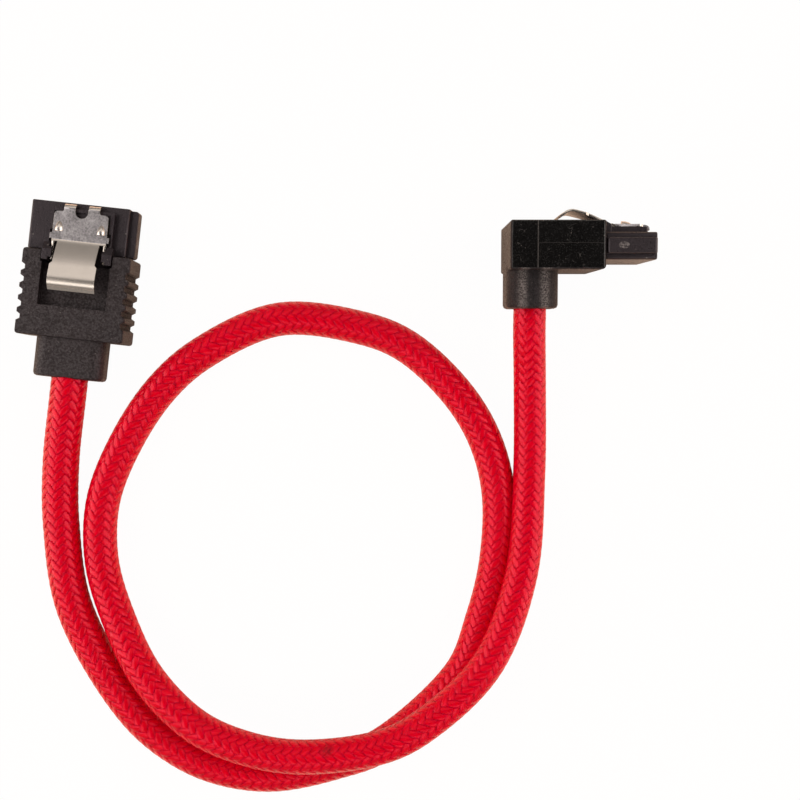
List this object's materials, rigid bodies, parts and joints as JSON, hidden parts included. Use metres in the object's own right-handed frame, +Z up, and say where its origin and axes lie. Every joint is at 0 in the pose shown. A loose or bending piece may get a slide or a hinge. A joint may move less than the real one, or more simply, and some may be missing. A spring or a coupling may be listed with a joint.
{
  "type": "sata data cable",
  "caption": "Short red braided drive data cable lying in a flat loop, with a straight plug and a right-angle plug, each held by a sprung steel latch.",
  "frame": {"origin": "middle of the box round the two plugs, on the surface that the cable lies on", "axes": "+X from the straight plug to the right-angle plug, +Z up off the surface, +Y on the side of the plugs away from the loop"},
  "size_m": [0.079, 0.0756, 0.014],
  "materials": {
    "nose_plastic": "moulded, semi-gloss black",
    "grip_plastic": "moulded, fine satin grain, black",
    "latch_steel": "stamped bright spring steel",
    "contact_gold": "gold plated",
    "pair_foil": "foil wrap",
    "red_braid": "braided polyester yarn, slight sheen"
  },
  "bodies": {
    "cable": {"straight_nose": "nose_plastic", "straight_grip": "grip_plastic", "straight_contact_1": "contact_gold", "straight_contact_2": "contact_gold", "straight_contact_3": "contact_gold", "straight_contact_4": "contact_gold", "straight_contact_5": "contact_gold", "straight_contact_6": "contact_gold", "straight_contact_7": "contact_gold", "straight_pair_left": "pair_foil", "straight_pair_right": "pair_foil", "angled_nose": "nose_plastic", "angled_grip": "grip_plastic", "angled_contact_1": "contact_gold", "angled_contact_2": "contact_gold", "angled_contact_3": "contact_gold", "angled_contact_4": "contact_gold", "angled_contact_5": "contact_gold", "angled_contact_6": "contact_gold", "angled_contact_7": "contact_gold", "angled_pair_left": "pair_foil", "angled_pair_right": "pair_foil", "cord": "red_braid"},
    "straight_latch_leaf": {"straight_latch": "latch_steel"},
    "angled_latch_leaf": {"angled_latch": "latch_steel"}
  },
  "joints": [
    {"name": "straight_latch_press", "type": "hinge", "parent": "cable", "child": "straight_latch_leaf", "pos_m": [-0.031, 0.01035, 0.00547], "axis": [0.9942, -0.108, 0], "range_deg": [0, 4], "stiffness_Nm_per_rad": 1.2},
    {"name": "angled_latch_press", "type": "hinge", "parent": "cable", "child": "angled_latch_leaf", "pos_m": [0.03903, 0.00754, 0.00715], "axis": [0, -0.061, 0.9981], "range_deg": [0, 4], "stiffness_Nm_per_rad": 1.2}
  ]
}
